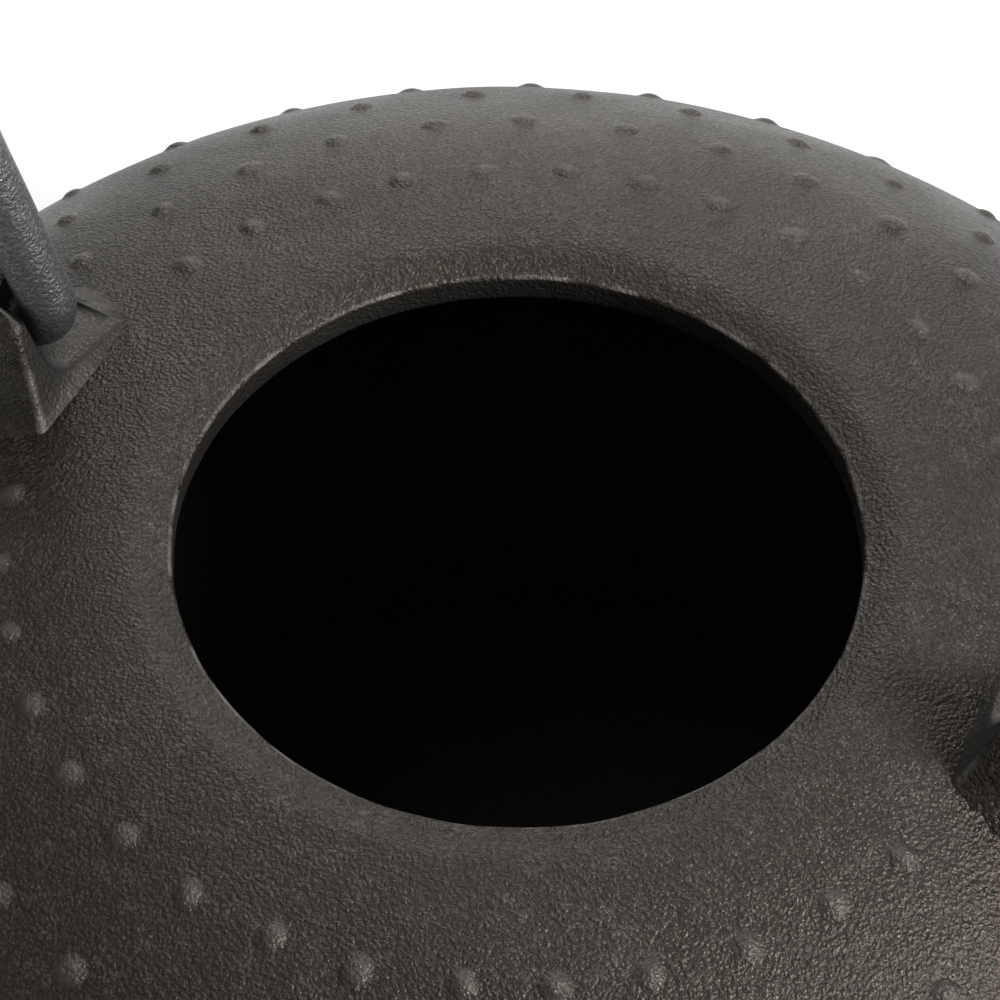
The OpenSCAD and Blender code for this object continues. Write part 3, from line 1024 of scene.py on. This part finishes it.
def pale_table():
    """A wide flat square under everything, with faint clouds in its finish."""
    corners = [(x * TABLE_HALF, y * TABLE_HALF, 0) for x, y in ((-1, -1), (1, -1), (1, 1), (-1, 1))]
    mesh = bpy.data.meshes.new("table")
    mesh.from_pydata(corners, [], [(0, 1, 2, 3)])
    table = bpy.data.objects.new("table", mesh)
    bpy.context.scene.collection.objects.link(table)
    material, place, shader = start_material("pale_table")
    tone = noise(place, 60 * MM, 2.0).mixed(*TABLE_TONES)
    feed(shader, Base_Color=tone, Roughness=0.7)
    mesh.materials.append(material)


pale_table()

# %% Soft boxes and sky
VIEW_TURN = 25.0
SKY_STRENGTH = 0.27


def direction(turn, rise):
    """Unit vector at a bearing, anticlockwise from the camera's right, and a rise, in degrees."""
    turn, rise = np.radians(turn + VIEW_TURN), np.radians(rise)
    return Vector((np.cos(rise) * np.cos(turn), np.cos(rise) * np.sin(turn), np.sin(rise)))


def soft_box(name, turn, rise, distance, size, watts):
    """A square area light that faces the pot."""
    light = bpy.data.lights.new(name, "AREA")
    light.size, light.energy = size, watts
    lamp = bpy.data.objects.new(name, light)
    lamp.location = direction(turn, rise) * distance
    lamp.rotation_euler = direction(turn, rise).to_track_quat("Z", "Y").to_euler()
    bpy.context.scene.collection.objects.link(lamp)
    print(f"{name} light: {watts} W, {size} m wide, at {distance} m")


soft_box("key", turn=-20, rise=38, distance=1.1, size=0.36, watts=17)
soft_box("back", turn=88, rise=30, distance=1.4, size=0.8, watts=8)
soft_box("top", turn=150, rise=75, distance=1.5, size=0.8, watts=3)
world = bpy.data.worlds.new("room")
world.use_nodes = True
feed(world.node_tree.nodes["Background"], Color=(1, 1, 1, 1), Strength=SKY_STRENGTH)
bpy.context.scene.world = world
bpy.context.scene.view_settings.view_transform = "Standard"

# %% The camera
VIEW_RISE = 51.52
ROLL = 0.51
LENS = 113.7
SENSOR = 36
EYE = Vector((69.7, -153.2, 216.5)) * MM  # from the middle of the mouth
camera_data = bpy.data.cameras.new("camera")
camera_data.lens, camera_data.sensor_width = LENS, SENSOR
camera = bpy.data.objects.new("camera", camera_data)
back = -direction(90, -VIEW_RISE)
right = direction(0, 0)
up = back.cross(right)
aim = Matrix((right, up, back)).transposed() @ Matrix.Rotation(np.radians(ROLL), 3, "Z")
camera.matrix_world = Matrix.Translation(EYE + Vector((0, 0, RIM_Z))) @ aim.to_4x4()
bpy.context.scene.collection.objects.link(camera)
bpy.context.scene.camera = camera
print("camera", round(EYE.length, 3), "m from the mouth")
